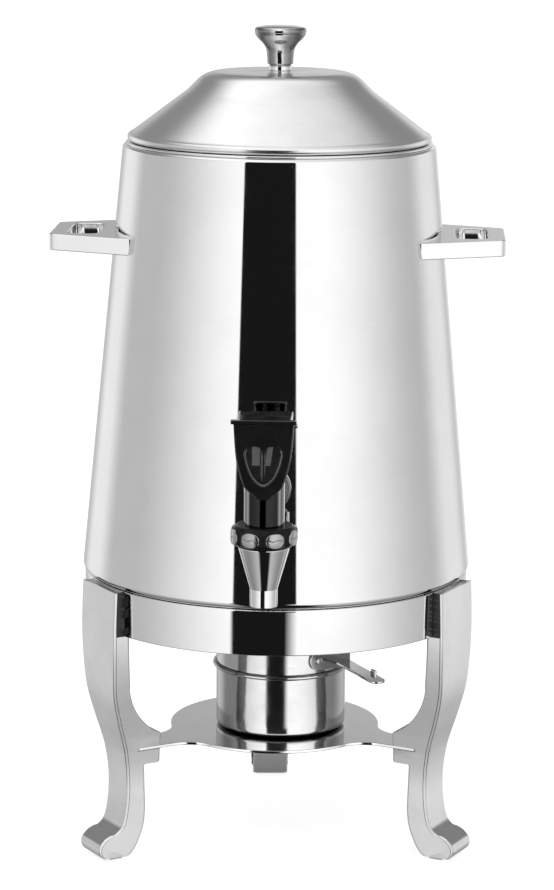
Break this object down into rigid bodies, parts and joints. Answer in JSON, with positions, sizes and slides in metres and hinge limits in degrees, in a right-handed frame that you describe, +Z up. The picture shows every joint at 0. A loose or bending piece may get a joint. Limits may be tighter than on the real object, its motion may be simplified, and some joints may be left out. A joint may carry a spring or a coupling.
{
  "type": "coffee urn",
  "caption": "Tapered double-wall coffee urn with lift-off lid and front tap, on a separate three-legged stand with a tray and fuel holder.",
  "frame": {"origin": "on the urn's upright axis, at the level of the table under the feet", "axes": "+Z up along the urn's axis, -Y towards the tap, the two side handles along -X and +X; the stand is turned 4 degrees about +Z under the urn"},
  "size_m": [0.2998, 0.3299, 0.5488],
  "materials": {
    "polished_steel": "mirror-polished stainless steel",
    "satin_steel": "spun and satin-finished stainless steel",
    "plain_steel": "plain turned stainless steel",
    "chrome": "chrome-plated brass",
    "black_plastic": "glossy black moulded plastic",
    "rubber": "matt black rubber",
    "silicone": "translucent white silicone"
  },
  "bodies": {
    "stand": {"stand_ring": "polished_steel", "leg_left": "polished_steel", "leg_right": "polished_steel", "leg_rear": "polished_steel", "leg_screws": "plain_steel", "foot_pads": "silicone", "fuel_tray": "polished_steel", "tray_screws": "plain_steel"},
    "holder": {"fuel_cup": "polished_steel"},
    "cover": {"cover_cap": "polished_steel", "cover_handle": "polished_steel", "cover_rivet": "plain_steel"},
    "urn": {"outer_shell": "polished_steel", "inner_tank": "polished_steel", "mouth_ring": "polished_steel", "base_ring": "polished_steel", "handle_left": "polished_steel", "handle_right": "polished_steel", "handle_screws": "plain_steel", "tap_body": "chrome", "outlet_cone": "chrome", "grip_ring": "black_plastic", "ring_pads": "chrome", "bonnet_cap": "chrome", "wall_gasket": "rubber", "shank_spacer": "plain_steel", "tank_gasket": "rubber", "shank_nut": "plain_steel", "lever_pin": "plain_steel"},
    "lid": {"lid_shell": "satin_steel", "lid_skirt": "satin_steel", "lid_knob": "chrome", "knob_collar": "chrome", "knob_washer": "rubber", "knob_screw": "plain_steel"},
    "lever": {"tap_lever": "black_plastic", "lever_inlay": "black_plastic"},
    "stem": {"valve_stem": "plain_steel", "stem_pin": "plain_steel", "seat_cup": "silicone", "stem_spring": "plain_steel"}
  },
  "joints": [
    {"name": "urn_lift", "type": "slide", "parent": "stand", "child": "urn", "axis": [0, 0, 1], "range_m": [0, 0.15]},
    {"name": "lid_lift", "type": "slide", "parent": "urn", "child": "lid", "axis": [0, 0, 1], "range_m": [0, 0.12]},
    {"name": "lever_tilt", "type": "hinge", "parent": "urn", "child": "lever", "pos_m": [0, -0.15801, 0.3114], "axis": [-1, 0, 0], "range_deg": [0, 30], "stiffness_Nm_per_rad": 0.12, "springref_deg": -17.19},
    {"name": "stem_lift", "type": "slide", "parent": "urn", "child": "stem", "axis": [0, 0, 1], "range_m": [0, 0.0043], "deforming": ["stem_spring"]},
    {"name": "holder_slide", "type": "slide", "parent": "stand", "child": "holder", "axis": [0, -1, 0], "range_m": [0, 0.185]},
    {"name": "cover_lift", "type": "slide", "parent": "holder", "child": "cover", "axis": [0, 0, 1], "range_m": [0, 0.03]}
  ],
  "couplings": [
    {"joint": "stem_lift", "follows": "lever_tilt", "m_per_rad": 0.008}
  ]
}
